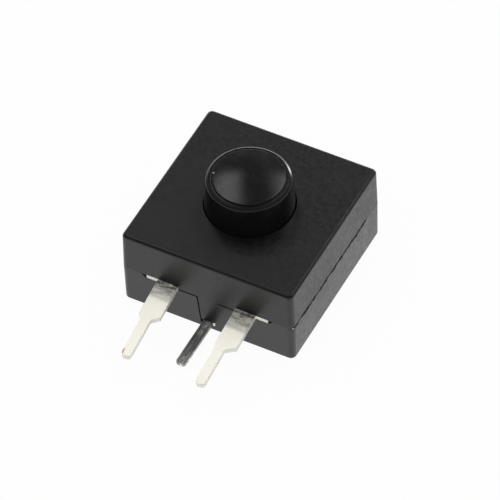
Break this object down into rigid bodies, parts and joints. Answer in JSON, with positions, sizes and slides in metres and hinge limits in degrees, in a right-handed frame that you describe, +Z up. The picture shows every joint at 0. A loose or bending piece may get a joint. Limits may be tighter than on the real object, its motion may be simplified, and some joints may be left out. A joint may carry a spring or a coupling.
{
  "type": "pushbutton switch",
  "caption": "Square self-locking pushbutton switch: moulded housing, domed round button and side-exit solder pins.",
  "frame": {"origin": "centre of the housing's flat underside, on the button's axis", "axes": "+Z up through the button, -Y towards the three pins, +X to the right as seen from the pins"},
  "size_m": [0.012, 0.0178, 0.0084],
  "materials": {
    "housing_plastic": "satin black moulding",
    "button_plastic": "glossy black moulding",
    "rotor_plastic": "natural white moulding",
    "contact_sheet": "phosphor bronze sheet",
    "spring_wire": "drawn steel wire",
    "tinned_pin": "bright tin plating",
    "middle_pin_metal": "tin plating",
    "contact_silver": "silver contact rivet"
  },
  "bodies": {
    "housing": {"cover": "housing_plastic", "base": "housing_plastic", "left_terminal": "tinned_pin", "right_terminal": "tinned_pin", "middle_terminal": "middle_pin_metal", "left_fixed_contact": "contact_silver", "right_fixed_contact": "contact_silver"},
    "plunger": {"button": "button_plastic"},
    "ratchet_rotor": {"rotor": "rotor_plastic"},
    "contact_carrier": {"contact_plate": "contact_sheet", "return_spring": "spring_wire", "moving_contact_1": "contact_silver", "moving_contact_2": "contact_silver", "moving_contact_3": "contact_silver", "moving_contact_4": "contact_silver"}
  },
  "joints": [
    {"name": "button_press", "type": "slide", "parent": "housing", "child": "plunger", "axis": [0, 0, -1], "range_m": [0, 0.0013], "stiffness_N_per_m": 1500, "deforming": ["return_spring"]},
    {"name": "contact_turn", "type": "hinge", "parent": "housing", "child": "contact_carrier", "pos_m": [0, 0, 0.0013], "axis": [0, 0, 1], "continuous": true},
    {"name": "rotor_slide", "type": "slide", "parent": "contact_carrier", "child": "ratchet_rotor", "axis": [0, 0, -1], "range_m": [0, 0.0013]}
  ],
  "couplings": [
    {"joint": "rotor_slide", "follows": "button_press", "ratio": 1}
  ]
}
